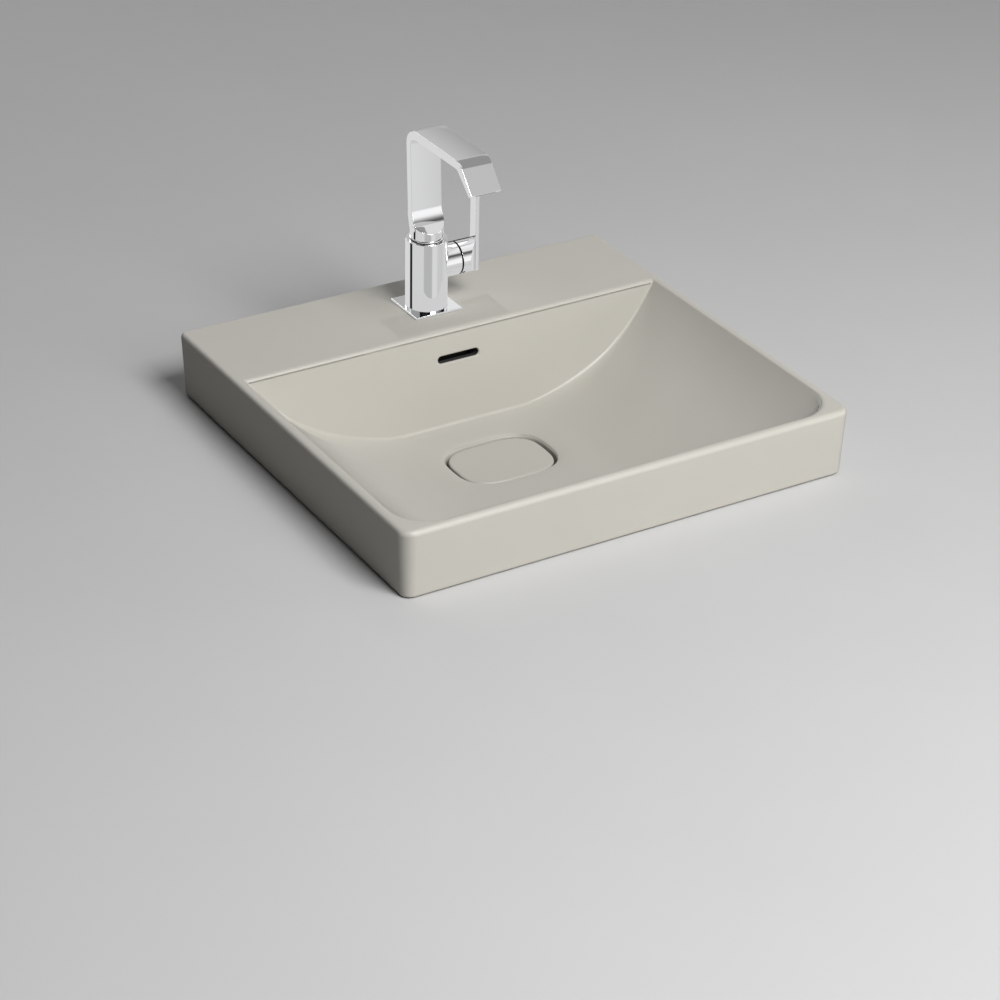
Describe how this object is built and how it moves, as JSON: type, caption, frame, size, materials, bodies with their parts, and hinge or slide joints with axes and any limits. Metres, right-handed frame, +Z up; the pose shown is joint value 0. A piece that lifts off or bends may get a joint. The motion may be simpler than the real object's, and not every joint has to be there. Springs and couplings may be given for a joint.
{
  "type": "countertop basin",
  "caption": "Drop-in ceramic basin with a low rim box, rear tap deck, overflow slot, ceramic waste cover and a single-lever mixer with a swivel spout.",
  "frame": {"origin": "centre of the rim box's footprint, on the counter's surface", "axes": "+X to the right, +Y to the back where the tap stands, +Z up"},
  "size_m": [0.5, 0.468, 0.4305],
  "materials": {
    "ceramic": "matt satin glaze, warm taupe",
    "chrome": "polished",
    "steel": "fine brushed",
    "brass": "machined",
    "seal_rubber": "matt",
    "white_plastic": "moulded",
    "grey_plastic": "moulded"
  },
  "bodies": {
    "root": {"basin": "ceramic", "rim_seal": "seal_rubber", "waste_body": "chrome", "flange_seal": "seal_rubber", "under_seal": "seal_rubber", "slip_washer": "white_plastic", "back_nut": "chrome", "plunger_guide": "white_plastic", "click_sleeve": "grey_plastic", "plunger_spring": "steel", "base_plate": "chrome", "base_gasket": "seal_rubber", "tap_body": "chrome", "spout_bush": "white_plastic", "spout_screw": "steel", "cartridge": "white_plastic", "cartridge_nut": "brass", "fixing_stud": "steel", "horseshoe_gasket": "seal_rubber", "horseshoe_plate": "steel", "fixing_nut": "brass"},
    "spout": {"spout": "chrome", "spout_o_rings": "seal_rubber", "outlet_insert": "grey_plastic"},
    "handle": {"spindle": "brass", "handle_cap": "chrome", "lever_bar": "chrome", "handle_screw": "steel"},
    "cover": {"cover_carrier": "steel", "cover_pads": "seal_rubber", "waste_cover": "ceramic", "plunger": "steel", "plug_disc": "steel", "plug_seal": "seal_rubber"}
  },
  "joints": [
    {"name": "spout_swivel", "type": "hinge", "parent": "root", "child": "spout", "pos_m": [0, 0.1665, 0.149], "axis": [0, 0, 1], "range_deg": [-60, 60]},
    {"name": "handle_turn", "type": "hinge", "parent": "root", "child": "handle", "pos_m": [0.037, 0.1665, 0.1182], "axis": [1, 0, 0], "range_deg": [0, 90]},
    {"name": "cover_lift", "type": "slide", "parent": "root", "child": "cover", "axis": [0, 0, 1], "range_m": [0, 0.008], "deforming": ["plunger_spring"]}
  ]
}
